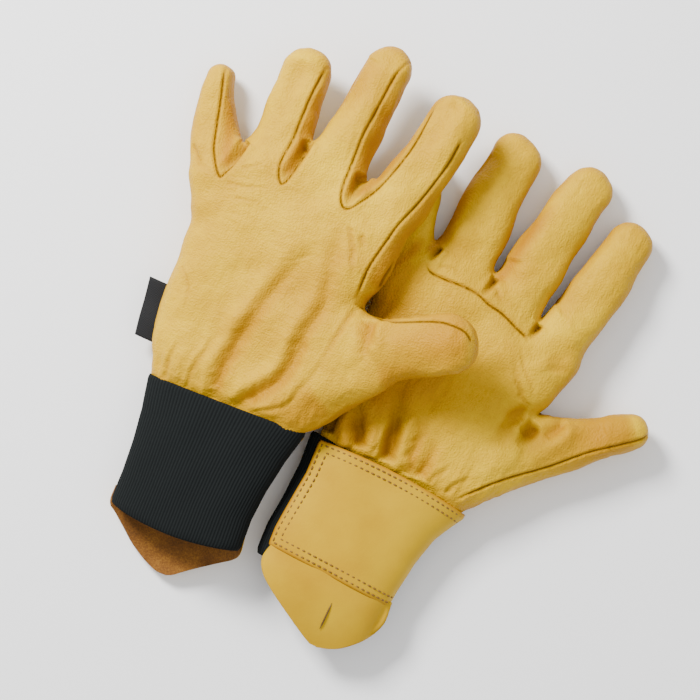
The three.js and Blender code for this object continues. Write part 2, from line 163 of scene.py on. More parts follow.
def smooth_curve(points, count):
    """`count` points evenly spread along a Catmull-Rom curve through `points`."""
    p = np.asarray(points, float)
    padded = np.vstack([2 * p[0] - p[1], p, 2 * p[-1] - p[-2]])
    pieces = []
    for a, b, c, d in zip(padded, padded[1:], padded[2:], padded[3:]):
        t = np.linspace(0, 1, 24, endpoint=False)[:, None]
        bend, twist = 2 * a - 5 * b + 4 * c - d, 3 * b - a - 3 * c + d
        pieces.append(0.5 * (2 * b + (c - a) * t + bend * t**2 + twist * t**3))
    dense = np.vstack(pieces + [p[-1:]])
    run = run_along(dense)
    return points_at(dense, run, np.linspace(0, run[-1], count))


def nearest_on(line, x, y):
    """Distance from each (x, y) to a polyline, the share of its length there, and the signed side."""
    best = np.full(x.shape, 1e9)
    share = np.zeros(x.shape)
    side = np.zeros(x.shape)
    steps = len(line) - 1
    for k in range(steps):
        ax, ay = line[k][:2]
        bx, by = line[k + 1][:2]
        ux, uy = bx - ax, by - ay
        t = np.clip(((x - ax) * ux + (y - ay) * uy) / (ux * ux + uy * uy), 0, 1)
        dx, dy = x - ax - t * ux, y - ay - t * uy
        d = np.hypot(dx, dy)
        closer = d < best
        best = np.where(closer, d, best)
        share = np.where(closer, (k + t) / steps, share)
        side = np.where(closer, np.sign(ux * dy - uy * dx), side)
    return best, share, side


def outline_distance(outline, x, y):
    """Signed distance to a closed outline, negative inside."""
    closed = np.vstack([outline, outline[:1]])
    distance, _, _ = nearest_on(closed, x, y)
    inside = np.zeros(x.shape, bool)
    for (ax, ay), (bx, by) in zip(closed, closed[1:]):
        crosses = (ay > y) != (by > y)
        with np.errstate(divide="ignore", invalid="ignore"):
            at = ax + (y - ay) * (bx - ax) / (by - ay if by != ay else 1e-9)
        inside ^= crosses & (x < at)
    return np.where(inside, -distance, distance)


def soft_union(a, b, reach):
    """The smaller of two distances, rounded over `reach`."""
    h = np.clip(0.5 + 0.5 * (b - a) / reach, 0, 1)
    return b * (1 - h) + a * h - reach * h * (1 - h)


def section(flat, height, half_thick, size):
    """Distance outside a superellipse section: 1 in plan (`flat`) or in height is its surface."""
    tall = np.abs(height) / half_thick[..., None]
    both = flat[..., None] ** SECTION_POWER + tall**SECTION_POWER
    return (both ** (1 / SECTION_POWER) - 1) * size[..., None]


# ---- The skin of one glove ----


def digit_line(digit):
    """The middle line of a digit, stopped short of the tip by the tip's radius."""
    root, via, tip, widths, _, _ = digit
    root, via, tip = (np.array(p, float) for p in (root, via, tip))
    control = 2 * via - 0.5 * root - 0.5 * tip
    t = np.linspace(0, 1, 40)[:, None]
    line = (1 - t) ** 2 * root + 2 * t * (1 - t) * control + t**2 * tip
    keep = np.linalg.norm(line - tip, axis=1) >= widths[2] / 2
    return line[keep]


def digit_reach(digit, x, y):
    """Plan distance to a digit's middle line, the share of its length and its half width there."""
    distance, share, _ = nearest_on(digit_line(digit), x, y)
    return distance, share, np.interp(share, (0.0, 0.5, 1.0), digit[3]) / 2


def digit_field(digit, x, y, z):
    """How far outside a digit each grid point is."""
    distance, share, half_width = digit_reach(digit, x, y)
    half_thick = np.interp(share, (0, 1), digit[4])
    height = z - (digit[5] * share)[..., None]
    return section(distance / half_width, height, half_thick, np.minimum(half_width, half_thick))


# Half thickness of the hand at places up it: it dips under the cuff's top edge.
HAND_RISE = (-8, 0, 2, 5, 16, 45, 90, 130)
HAND_HALF_THICK = (10, 10.6, 11.6, 13.4, 14.4, 15, 14.6, 12)


def hand_field(glove, x, y, z):
    """The same for the flat of the hand, which rounds over near its outline."""
    distance = outline_distance(smooth_curve(glove["outline"], 160), x, y)
    half_thick = np.interp(y, HAND_RISE, HAND_HALF_THICK)
    return section(np.maximum(distance + EDGE_RADIUS, 0) / EDGE_RADIUS, z, half_thick, half_thick)


# Corners of the box in which a skin is formed.
SKIN_LOW = (-84.0, -9.0, -22.0)
SKIN_HIGH = (134.0, 214.0, 34.0)
FAR_FIELD = 3.0  # distances beyond this don't matter


def skin_surface(glove):
    """The hand and its fingers as one surface, and the walls inside it."""
    low, high = np.array(SKIN_LOW), np.array(SKIN_HIGH)
    axes = [np.arange(a, b, VOXEL) for a, b in zip(low, high)]
    x, y = np.meshgrid(axes[0], axes[1], indexing="ij")
    hand = hand_field(glove, x, y, axes[2])
    fields = {name: digit_field(glove["digits"][name], x, y, axes[2]) for name in DIGITS}
    fingers = fields["little"]
    for name in FINGERS[1:]:
        fingers = soft_union(fingers, fields[name], CREASE_BLEND)
    whole = soft_union(soft_union(hand, fingers, SKIN_BLEND), fields["thumb"], SKIN_BLEND)
    points, quads = zero_surface(whole, low)
    return points, quads, side_walls(glove, x, y, whole, low)


def zero_surface(field, low):
    """The surface on which a gridded field is zero: points and four-cornered faces."""
    grid = openvdb.FloatGrid()
    grid.background = FAR_FIELD
    near = np.clip(field, -FAR_FIELD, FAR_FIELD)
    grid.copyFromArray(np.ascontiguousarray(near, dtype=np.float32))
    points, quads = grid.convertToQuads(0.0)
    return points.astype(float) * VOXEL + low, quads.astype(np.int64)


def side_walls(glove, x, y, whole, low):
    """The upright leather wall of each digit inside the skin, where it meets its neighbours."""
    nearness = []
    for name in DIGITS:
        distance, _, half_width = digit_reach(glove["digits"][name], x, y)
        nearness.append(distance / half_width)
    walls = []
    inside = whole + WALL_INSET
    for number, name in enumerate(DIGITS):
        others = np.minimum(np.min(np.delete(nearness, number, axis=0), axis=0), DIGIT_REACH)
        upright = ((nearness[number] - others) * WALL_SLOPE + WALL_GAP)[..., None]
        points, quads = zero_surface(np.maximum(upright, inside), low)
        centre = points[quads].mean(axis=1)
        i, j, k = np.round((centre - low) / VOXEL).astype(int).T
        along = out_of_root(glove, name, centre)
        keep = (upright[i, j, 0] > inside[i, j, k]) & (along > 1 - BLEND_BEFORE) & (along < WALL_END)
        used, faces = used_points(quads[keep])
        walls.append((points[used], faces))
    return walls


def used_points(quads):
    """The points that faces use, and the faces numbered by them."""
    used, index = np.unique(quads, return_inverse=True)
    return used, index.reshape(-1, 4)


def corner_normals(points, quads):
    """Area-weighted vertex normals."""
    a, b, c, d = (points[quads[:, k]] for k in range(4))
    face = np.cross(c - a, d - b)
    total = np.zeros_like(points)
    for k in range(4):
        np.add.at(total, quads[:, k], face)
    return total / np.maximum(np.linalg.norm(total, axis=1, keepdims=True), 1e-12)


def relax(points, quads, rounds):
    """Evens out the grid's steps by moving each point towards its neighbours."""
    edges = np.vstack([quads[:, [k, (k + 1) % 4]] for k in range(4)])
    count = np.bincount(edges.ravel(), minlength=len(points))[:, None]
    for _ in range(rounds):
        total = np.zeros_like(points)
        np.add.at(total, edges[:, 0], points[edges[:, 1]])
        np.add.at(total, edges[:, 1], points[edges[:, 0]])
        points = 0.5 * points + 0.5 * total / np.maximum(count, 1)
    return points


# ---- Seams and folds pressed into the skin ----
# Each stroke: side (+1 upper half, -1 lower), its kind, then its points from the deep end on.
# A kind: width and depth in mm, how far it leans to one side, over what share of its length it fades
# out, and how much painted shade, darker and amber, it lays in its valley. A depth of 0 only paints shade.

SEAM = (0.75, 0.9, 0.0, 0.04, 0.3, 0.6)
PIT = (1.6, 2.4, 0.0, 0.8, 0.9, 0.8)
GORGE = (2.4, 5.5, 0.01, 1.0, 0.45, 1.0)
FOLD = (3.4, 2.9, 1.0, 0.75, 0.0, 0.9)
DEEP = (3.6, 4.6, 0.5, 0.6, 0.6, 1.0)
DENT = (5.5, 1.5, 0.3, 0.6, 0.0, 0.4)
CREASE = (1.3, 0.8, 0.8, 0.6, 0.15, 0.4)
WRINKLE = (0.8, 0.4, 0.4, 0.5, 0.1, 0.2)
# These three kinds only paint amber shade, with no relief: along the fourchette strips, and in wider patches
# over the shaded palms, thumbs and wrist.
STRIP_SHADE = (2.6, 0.0, 0.0, 0.3, 0.0, 1.0)
AMBER_SHADE = (9.0, 0.0, 0.0, 0.6, 0.0, 0.8)
WIDE_AMBER_SHADE = (13.0, 0.0, 0.0, 0.7, 0.0, 0.95)
SEWN = (SEAM, PIT)  # the kinds drawn with a crisp dark line: a seam's dark joint, and painted shade down a crotch pit
SEAM_FAR = 3.0  # beyond this distance a seam no longer matters
BANK_AT = 1.9  # a fold's raised banks: place and width, in fold widths
BANK_WIDTH = 1.1

LEFT_STROKES = [
    (1, SEAM, (-61, 164), (-57, 149), (-52, 128), (-48, 118), (-41, 109), (-39, 112), (-36, 120),
        (-36, 128)),
    (1, SEAM, (-10, 181), (-11, 174), (-12, 159), (-12, 142), (-13, 125), (-9, 116), (-6, 121), (-4, 138)),
    (1, SEAM, (30, 198), (26, 186), (24, 171), (22, 155), (21.5, 138), (22, 123), (27, 115), (34, 122),
        (40, 134), (45, 147), (48, 160), (49, 171), (50, 181)),
    (1, SEAM, (47.5, 74), (49.5, 93), (53.5, 110), (55.5, 117), (61.5, 133), (67, 151), (70, 168)),
    (1, SEAM, (54, 74), (57.4, 92), (60, 108)),
    (1, SEAM, (47.5, 72), (54, 70.5), (61.5, 69.5), (70, 70), (90, 77), (100, 78.5), (108.5, 77.5),
        (113.5, 73)),
    (1, STRIP_SHADE, (-40, 114), (-45, 128), (-52, 147), (-57, 160)),
    (1, STRIP_SHADE, (-8, 120), (-8, 138), (-9, 160), (-8, 178)),
    (1, STRIP_SHADE, (26, 120), (25.5, 138), (27, 160), (30, 185)),
    (1, STRIP_SHADE, (30, 122), (37, 138), (42, 155), (46, 176)),
    (1, AMBER_SHADE, (74, 38), (96, 50), (112, 62)),
    (1, WIDE_AMBER_SHADE, (112, 74), (92, 66), (74, 56), (62, 44)),
    (1, AMBER_SHADE, (50, 20), (38, 6), (10, 3)),
    (1, STRIP_SHADE, (53, 80), (55.5, 97), (59, 112), (65, 132), (71, 155)),
    (1, GORGE, (-36, 131), (-37.5, 121), (-41, 110)),
    (1, GORGE, (-4.5, 142), (-5.5, 130), (-8.5, 117)),
    (1, GORGE, (28, 135), (28, 125), (27.2, 116)),
    (1, CREASE, (49, 70), (45, 47), (42, 29)),
    (1, FOLD, (59, 67), (62, 53.5), (66, 44)),
    (1, DENT, (112, 65), (98, 56), (84, 46.5)),
    (1, FOLD, (-5, 0), (-4, 19), (-1, 36), (3, 50), (8, 67), (14, 81), (18, 94)),
    (1, FOLD, (7, 1), (17, 11), (26, 23), (29, 35), (30, 49), (34, 65), (32, 81), (30, 98), (28, 110)),
    (1, CREASE, (15, 1), (27, 7), (34, 13), (41, 31), (42, 43)),
    (1, CREASE, (32, 108), (40, 93), (44, 80)),
    (1, CREASE, (40, 106), (44, 99)),
    (1, CREASE, (-20, 1), (-18, 17), (-12, 38)),
    (1, CREASE, (-33, 1), (-33, 14), (-30, 26)),
    (1, DENT, (62, 186), (57, 172), (54, 158), (53, 140)),
    (1, DENT, (-22, 180), (-23, 160), (-24, 138)),
    (1, DENT, (12, 192), (8, 170), (6, 146)),
    (1, WRINKLE, (-37, 107), (-24, 109), (-9, 115)),
    (1, WRINKLE, (-30, 101), (-15, 104)),
    (1, WRINKLE, (-31, 117), (-21, 123)),
    (1, CREASE, (-62, 120), (-53, 112), (-47, 111)),
    (1, WRINKLE, (20, 88), (8, 80), (0, 76)),
    (1, WRINKLE, (-44, 60), (-36, 50), (-34, 36)),
    (-1, SEAM, (-38, 120), (-34, 111), (-24, 110), (-10, 116), (-2, 117), (10, 116), (22, 112), (29, 108)),
    (-1, SEAM, (38, 4), (54, 24), (72, 40), (88, 54), (104, 64), (112, 72)),
    (-1, FOLD, (-20, 4), (-24, 20), (-30, 34)),
    (-1, FOLD, (5, 4), (3, 20), (-2, 36)),
    (-1, FOLD, (22, 4), (24, 16), (30, 28)),
    (-1, DENT, (44, 62), (30, 50), (22, 34)),
]
RIGHT_STROKES = [
    (1, SEAM, (-36, 105.5), (-32.5, 102), (-25.5, 101.5), (-13.5, 103), (-4.5, 103), (2.5, 101), (11, 100),
        (21, 97), (29, 95)),
    (1, SEAM, (34, 4), (50, 23.6), (69, 42), (83.7, 58), (96.7, 69.4), (105.6, 77.7), (108, 83)),
    (1, PIT, (-33.5, 116), (-34.2, 111), (-36, 105.5)),
    (1, PIT, (-0.5, 116), (-1, 110), (-3.5, 103)),
    (1, PIT, (31, 105), (30, 100), (29, 95)),
    (1, AMBER_SHADE, (-44, 106), (-42, 78), (-30, 60), (3, 46)),
    (1, AMBER_SHADE, (-38, 4), (-22, 22), (-8, 32)),
    (1, WIDE_AMBER_SHADE, (-34, 30), (-14, 44), (4, 54), (16, 66), (22, 82)),
    (1, WIDE_AMBER_SHADE, (100, 80), (84, 66), (68, 50), (52, 34)),
    (1, DEEP, (-41, 4), (-42, 14), (-41, 24)),
    (1, DEEP, (-22, 5), (-27, 14), (-32, 21), (-36, 29)),
    (1, DEEP, (-6.6, 5), (-10, 20), (-14.7, 34), (-19, 43)),
    (1, FOLD, (6.5, 4), (4, 20), (1, 35), (-2, 46)),
    (1, FOLD, (12.5, 5), (12, 18), (9, 31)),
    (1, CREASE, (18, 5), (20, 12), (25, 19)),
    (1, CREASE, (-15, 5), (-16, 14), (-20, 24)),
    (1, CREASE, (28, 5), (31, 12), (36, 18)),
    (1, FOLD, (46.7, 59), (42, 58), (40.5, 50), (42.4, 37)),
    (1, DEEP, (54, 58.5), (52.5, 54), (50, 43)),
    (1, FOLD, (64.5, 67), (64, 62.8), (58.6, 51), (53, 37)),
    (1, DENT, (86, 73), (80, 68), (72, 60)),
    (1, CREASE, (46, 64), (35.4, 71), (25, 84)),
    (1, WRINKLE, (44, 72), (34, 80), (27, 90)),
    (1, DENT, (50, 86), (46, 96), (37, 98)),
    (1, DENT, (-36, 121), (-25, 118.5), (-13, 128)),
    (1, DENT, (2, 128), (4, 120), (12, 112)),
    (1, DENT, (35, 116), (41, 124), (50, 122)),
    (1, DENT, (-32, 172), (-32, 158), (-31, 142)),
    (1, CREASE, (1, 111), (6, 107), (12, 106.5)),
    (1, WRINKLE, (-30, 106), (-22, 109), (-14, 108)),
    (1, STRIP_SHADE, (-52, 92), (-46, 104), (-42, 118)),
    (1, STRIP_SHADE, (-37, 108), (-35, 130), (-35, 158)),
    (1, STRIP_SHADE, (0, 112), (3, 134), (8, 165)),
    (-1, SEAM, (-58, 156), (-53, 140), (-49, 122), (-42, 104), (-37, 98), (-34, 104), (-33, 112)),
    (-1, SEAM, (-10, 178), (-8, 160), (-6, 140), (-6, 120), (-4, 104), (-1, 98), (1, 104), (2, 114)),
    (-1, SEAM, (32, 184), (29, 165), (26, 140), (25, 118), (28, 98), (31, 90), (35, 100), (39, 118),
        (42, 140), (43, 165)),
    (-1, SEAM, (50, 64), (53, 80), (56, 100), (58, 120), (59, 150), (59, 166)),
    (-1, FOLD, (-5, 2), (-4, 20), (2, 45), (12, 80)),
    (-1, FOLD, (12, 2), (22, 22), (30, 50), (30, 84)),
    (-1, CREASE, (-26, 2), (-24, 18), (-20, 32)),
]


def press_strokes(points, normals, strokes):
    """Moves points along their normals for every stroke.

    Returns them, the painted shade of each (how dark and how amber), and its distance to the nearest seam.
    """
    shift = np.zeros(len(points))
    dark = np.zeros(len(points))
    amber_shade = np.zeros(len(points))
    seam_gap = np.full(len(points), SEAM_FAR)
    plan = points[:, :2]
    for side, kind, *route in strokes:
        width, depth, lean, tail, darkening, amber_shade_strength = kind
        line = smooth_curve(route, 6 * len(route))
        reach = 4.5 * width
        near = (plan > line.min(axis=0) - reach) & (plan < line.max(axis=0) + reach)
        who = np.flatnonzero(near.all(axis=1) & (points[:, 2] * side > -2))
        wander = wave_noise(points[who], 9.0, 5, 2)[:, None] * lean * 0.35
        distance, share, left = nearest_on(line, *(plan[who] + wander).T)
        fade = np.clip(share * 12, 0, 1) ** 0.5 * np.clip((1 - share) / tail, 0, 1) ** 0.8
        fade *= np.clip(normals[who, 2] * side * 3 + 0.6, 0, 1)
        offset = distance * left / width
        valley = np.exp(-(offset**2)) * fade
        banks = (0.28 + 0.3 * lean) * np.exp(-(((offset - BANK_AT) / BANK_WIDTH) ** 2))
        banks += (0.28 - 0.16 * lean) * np.exp(-(((offset + BANK_AT) / BANK_WIDTH) ** 2))
        shift[who] += depth * (banks * fade - valley)
        if kind in SEWN:
            seam_gap[who] = np.minimum(seam_gap[who], distance + (1 - fade))
        dark[who] = np.maximum(dark[who], valley * darkening)
        amber_shade[who] = np.maximum(amber_shade[who], np.exp(-((offset / 1.6) ** 2)) * fade * amber_shade_strength)
    return points + normals * shift[:, None], dark, amber_shade, seam_gap


WAVES = 7  # plane waves in each octave of noise
OCTAVE_GAIN = 0.6


def wave_noise(points, scale, seed, octaves):
    """Smooth noise as a sum of plane waves in random directions."""
    local = np.random.default_rng(seed)
    total = np.zeros(len(points))
    weight = 0.0
    for octave in range(octaves):
        for _ in range(WAVES):
            direction = local.normal(size=3)
            direction *= 2 ** octave / scale / np.linalg.norm(direction) * local.uniform(0.7, 1.3)
            phase = local.uniform(0, 6.28)
            total += np.sin(points @ direction * 2 * math.pi + phase) * OCTAVE_GAIN**octave
        weight += WAVES * OCTAVE_GAIN ** (2 * octave) / 2
    return total / math.sqrt(weight)


def cuff_gathers(points, normals, seed):
    """Long pleats where the leather is gathered onto the elastic, dying out up the hand."""
    rise = np.maximum(points[:, 1], 0)
    fade = (0.35 * np.exp(-rise / 40) + 0.65 * np.exp(-rise / 14)) * np.clip((points[:, 1] - 1) / 6, 0, 1)
    drawn_out = points * [1.0, 0.16, 1.0]
    pleat = 1 - 1.4 * np.abs(wave_noise(drawn_out, 13.0, seed + 2, 1))
    fine = 1 - 1.4 * np.abs(wave_noise(drawn_out, 6.0, seed + 3, 1))
    return points + normals * ((0.95 * pleat + 0.3 * fine) * fade * 0.6)[:, None]


def long_wrinkles(points, normals, seed):
    """Faint lengthwise and crosswise wrinkles, in patches."""
    lengthwise = 1 - np.abs(wave_noise(points * [1.0, 0.22, 1.0], 9.0, seed + 4, 2))
    crosswise = 1 - np.abs(wave_noise(points * [0.3, 1.0, 1.0], 7.0, seed + 5, 2))
    patch = np.clip(0.5 + 0.5 * wave_noise(points, 40.0, seed + 6, 1), 0, 1)
    return points + normals * (0.14 * lengthwise * patch + 0.1 * crosswise * (1 - patch))[:, None]


def sink_walls(points, normals, walls):
    """Keeps the side walls under the finished skin, and drops what would stand outside it."""
    low = points[:, :2].min(axis=0) - 4 * WALL_CELL
    shape = np.ceil((points[:, :2].max(axis=0) + 4 * WALL_CELL - low) / WALL_CELL).astype(int)
    cells = ((points[:, :2] - low) / WALL_CELL).astype(int)
    levels = []
    for side in (1, -1):
        facing = (normals[:, 2] > 0) == (side > 0)
        level = np.full(shape, np.inf)
        np.minimum.at(level, tuple(cells[facing].T), points[facing, 2] * side)
        around = [np.roll(level, (i, j), (0, 1)) for i in (-1, 0, 1) for j in (-1, 0, 1)]
        levels.append(np.min(around, axis=0))
        levels.append(np.isfinite(level))
    top, has_top, bottom, has_bottom = levels
    sunk = []
    for wall, quads in walls:
        i, j = ((wall[:, :2] - low) / WALL_CELL).astype(int).T
        covered = has_top[i, j] & has_bottom[i, j]
        highest = top[i, j] - WALL_INSET
        lowest = np.minimum(WALL_INSET - bottom[i, j], highest)
        wall = np.column_stack([wall[:, :2], np.clip(wall[:, 2], lowest, highest)])
        used, faces = used_points(quads[covered[quads].all(axis=1)])
        sunk.append((wall[used], faces))
    return sunk


WALL_AMBER_SHADE = 0.75  # strength of the painted amber shade on the skin's steep side walls
CUFF_AMBER_SHADE = 0.55  # and on the leather gathered onto the cuff, fading over this many mm
CUFF_SHADE_REACH = 7
SKIN_END = -4  # the skin stops here, under the cuff
# the inner walls' shades: no darkening, the painted amber side shade, and no seam near
WALL_SHADE = (0.0, WALL_AMBER_SHADE, SEAM_FAR)


def build_skin(glove, strokes, seed):
    """Points, faces, normals, shades and inside walls of the finished skin, in the glove's frame.

    A shade is a point's painted shade, how dark and how amber it is, and its distance to the nearest seam.
    """
    points, quads, walls = skin_surface(glove)
    points = relax(points, quads, 2)
    normals = corner_normals(points, quads)
    if np.mean(np.einsum("ij,ij->i", normals, points - points.mean(axis=0))) < 0:
        quads = quads[:, ::-1]
        normals = -normals
    wall = 1 - np.abs(normals[:, 2])
    slack = wave_noise(points, 36.0, seed, 2) * 0.5 + wave_noise(points, 15.0, seed + 1, 2) * 0.1
    points = points + normals * slack[:, None]
    points = long_wrinkles(points, normals, seed)
    points = cuff_gathers(points, normals, seed)
    points, dark, amber_shade, seam_gap = press_strokes(points, normals, strokes)
    normals = corner_normals(points, quads)
    # painted amber shade on the steep sides and in the pleats gathered at the cuff
    amber_shade = np.maximum(amber_shade, WALL_AMBER_SHADE * np.clip(wall * 1.5 - 0.25, 0, 1))
    amber_shade = np.maximum(amber_shade, CUFF_AMBER_SHADE * np.exp(-np.maximum(points[:, 1], 0) / CUFF_SHADE_REACH))
    keep = points[quads].mean(axis=1)[:, 1] > SKIN_END
    shades = np.column_stack([dark, amber_shade, seam_gap])
    return points, quads[keep], normals, shades, sink_walls(points, normals, walls)


def root_frame(ends):
    """Middle of a root segment and the plan direction pointing out of the hand from it."""
    a, b = np.array(ends[0], float), np.array(ends[1], float)
    along = (b - a) / np.linalg.norm(b - a)
    return (a + b) / 2, np.array([-along[1], along[0]])


def digit_ends(glove, name):
    """The two ends of a digit's root, in plan."""
    if name == "thumb":
        return glove["thumb_root"]
    k = FINGERS.index(name)
    return glove["knuckles"][k:k + 2]


def out_of_root(glove, name, points):
    """How far points lie beyond a digit's root line, in plan."""
    middle, out = root_frame(digit_ends(glove, name))
    return (points[:, :2] - middle) @ out


def split_faces(glove, points, quads):
    """Which piece each face belongs to: -1 the hand, else the digit's number."""
    centre = points[quads].mean(axis=1)
    x, y = centre[:, 0], centre[:, 1]
    owner = np.full(len(quads), -1)
    nearest = np.full(len(quads), 1e9)
    for number, name in enumerate(DIGITS):
        distance, _, half_width = digit_reach(glove["digits"][name], x, y)
        field = distance / half_width
        past = out_of_root(glove, name, centre) > -BLEND_BEFORE
        closer = past & (field < nearest) & (field < DIGIT_REACH)
        owner[closer] = number
        nearest[closer] = field[closer]
    return owner


def mesh_object(name, points, faces, normals=None, values=None):
    """A linked object with smooth shading, optional fixed normals and point values."""
    mesh = bpy.data.meshes.new(name)
    mesh.from_pydata(points.tolist(), [], [list(map(int, f)) for f in faces])
    mesh.validate()
    mesh.shade_smooth()
    for key, data in (values or {}).items():
        layer = mesh.attributes.new(key, "FLOAT", "POINT")
        layer.data.foreach_set("value", np.asarray(data, np.float32))
    if normals is not None:
        mesh.normals_split_custom_set_from_vertices(normals.tolist())
    piece = bpy.data.objects.new(name, mesh)
    bpy.context.scene.collection.objects.link(piece)
    return piece


def two_layers(faces, count):
    """Faces of a sheet, of its inner copy `count` points on, and of the rim that joins them."""
    edges = {(int(a), int(b)) for face in faces for a, b in zip(face, np.roll(face, -1))}
    rim = [(b, a, a + count, b + count) for a, b in sorted(edges) if (b, a) not in edges]
    return np.vstack([faces, faces[:, ::-1] + count, np.array(rim, int)])


def dress(piece, glove, material, node):
    """Gives a piece its material and slot; it rides on its glove and stands for `node`."""
    piece.data.materials.append(material)
    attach(piece, f"{glove['name']}_glove")
    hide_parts(f"{glove['name']}_{node}")


def glove_skin(glove, strokes, seed, leather):
    """Makes the hand piece and the five digit pieces of one glove."""
    points, quads, normals, shades, walls = build_skin(glove, strokes, seed)
    owner = split_faces(glove, points, quads)
    matrix = np.array(glove_matrix(glove))[:3, :3]
    name = glove["name"]
    for number in range(-1, len(DIGITS)):
        used, faces = used_points(quads[owner == number])
        own = [points[used], normals[used], shades[used]]
        if number >= 0:
            wall, wall_faces = walls[number]
            faces = np.vstack([faces, wall_faces + len(used)])
            added = wall, corner_normals(wall, wall_faces), np.tile(WALL_SHADE, (len(wall), 1))
            own = [np.vstack(pair) for pair in zip(own, added)]
        outer, outward, shade = own
        count = len(outer)
        dark, amber_shade, gap = np.vstack([shade, shade]).T
        gap[count:] = SEAM_FAR
        label = "hand" if number < 0 else DIGITS[number]
        piece = mesh_object(
            f"{name}_{label}_skin",
            to_row(glove, np.vstack([outer, outer - outward * LEATHER]), np.repeat([0.0, LEATHER], count)),
            two_layers(faces, count),
            np.vstack([outward, -outward]) @ matrix.T,
            {"dark": dark, "amber_shade": amber_shade, "seam_gap": gap, "flesh_side": np.repeat([0.0, 1.0], count)},
        )
        piece.data.materials.append(leather)
        if number < 0:
            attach(piece, f"{name}_glove")
            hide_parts(f"{name}_palm_panel", f"{name}_back_panel")
            continue
        middle, out = root_frame(digit_ends(glove, label))
        start = middle - out * (BLEND_BEFORE - 1)
        end = middle + out * BLEND_AFTER
        ends = to_row(glove, [(*start, 0.0), (*end, 0.0)])
        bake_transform(piece)
        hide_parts(*record["behaviour"]["bodies"][f"{name}_{label}"])


# ---- Materials ----

LEATHER_PALE = (0.64, 0.405, 0.0)
LEATHER_MIDDLE = (0.565, 0.335, 0.0)
LEATHER_DEEP = (0.48, 0.26, 0.0)
# The amber is the colour of the painted amber shade and of the patch's darker cut edges; the dark brown is
# that of the seams and of the painted shade down valleys and pits.
LEATHER_AMBER = (0.34, 0.125, 0.0)
SEAM_AND_SHADE_BROWN = (0.11, 0.042, 0.0)
SHEEN_TINT = (1.0, 0.72, 0.3, 1.0)
SEAM_LINE = (0.12, 0.55)  # a seam is darkest nearer than the first and gone beyond the second, mm
WRINKLE_TURN = math.radians(24)  # both gloves lie turned by about this much


class Nodes:
    """A short way to write a material's node tree."""

    def __init__(self, name):
        self.material = bpy.data.materials.new(name)
        self.material.use_nodes = True
        self.tree = self.material.node_tree
        self.shader = self.tree.nodes["Principled BSDF"]

    def plug(self, node, key, value):
        """Links a node's input to a socket, or gives it a fixed value."""
        socket = node.inputs[key.replace("_", " ") if isinstance(key, str) else key]
        if isinstance(value, bpy.types.NodeSocket):
            self.tree.links.new(value, socket)
        else:
            socket.default_value = value

    def add(self, kind, **inputs):
        node = self.tree.nodes.new(kind)
        for key, value in inputs.items():
            self.plug(node, key, value)
        return node

    def coordinates(self, scale=(1, 1, 1), turn=0.0):
        """Object coordinates, turned about Z by `turn` and then scaled."""
        where = self.add("ShaderNodeTexCoord").outputs["Object"]
        turned = self.add("ShaderNodeMapping", Vector=where, Rotation=(0, 0, turn))
        return self.add("ShaderNodeMapping", Vector=turned.outputs["Vector"], Scale=scale).outputs["Vector"]

    def noise(self, where, scale, detail, rough):
        inputs = {"Vector": where, "Scale": scale, "Detail": detail, "Roughness": rough}
        return self.add("ShaderNodeTexNoise", **inputs).outputs["Fac"]

    def ramp(self, value, stops):
        node = self.add("ShaderNodeValToRGB", Fac=value)
        elements = node.color_ramp.elements
        elements[0].position, elements[0].color = stops[0][0], (*stops[0][1], 1)
        elements[1].position, elements[1].color = stops[-1][0], (*stops[-1][1], 1)
        for at, colour in stops[1:-1]:
            elements.new(at).color = (*colour, 1)
        return node.outputs["Color"]

    def mix(self, factor, first, second, mode="MIX"):
        node = self.tree.nodes.new("ShaderNodeMix")
        node.data_type = "RGBA"
        node.blend_type = mode
        for key, value in ((0, factor), (6, first), (7, second)):
            self.plug(node, key, (*value, 1) if isinstance(value, tuple) else value)
        return node.outputs[2]

    def math(self, operation, first, second):
        node = self.tree.nodes.new("ShaderNodeMath")
        node.operation = operation
        self.plug(node, 0, first)
        self.plug(node, 1, second)
        return node.outputs[0]

    def bump(self, height, strength, distance):
        node = self.add("ShaderNodeBump", Height=height, Strength=strength, Distance=distance)
        return node.outputs["Normal"]

    def attribute(self, name):
        node = self.tree.nodes.new("ShaderNodeAttribute")
        node.attribute_name = name
        return node.outputs["Fac"]

    def surface(self, colour, roughness, **others):
        for key, value in {"Base Color": colour, "Roughness": roughness, **others}.items():
            self.plug(self.shader, key, value)
        return self.material


